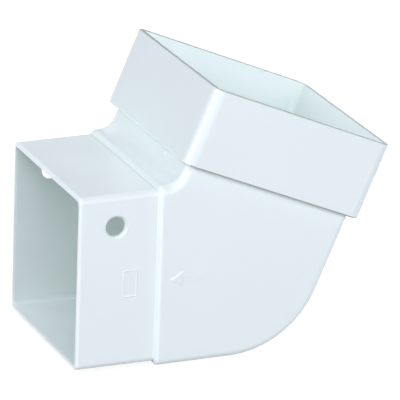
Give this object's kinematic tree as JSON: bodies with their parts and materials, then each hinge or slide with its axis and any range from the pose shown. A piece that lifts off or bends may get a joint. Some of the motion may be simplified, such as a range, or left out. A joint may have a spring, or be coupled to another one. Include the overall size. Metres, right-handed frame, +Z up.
{
  "type": "downspout elbow",
  "caption": "One-piece moulded plastic elbow for a square downpipe: plain spigot with fixing holes, rounded bend and a square socket collar.",
  "frame": {"origin": "below the middle of the elbow's bounding box, on the plane of the flat underside that it rests on", "axes": "+X from the spigot's mouth towards the heel, +Y across the elbow, square to its mirror plane, +Z up"},
  "size_m": [0.1126, 0.0718, 0.0993],
  "materials": {
    "moulded_plastic": "gloss"
  },
  "bodies": {
    "root": {"downspout_elbow": "moulded_plastic"}
  },
  "joints": []
}
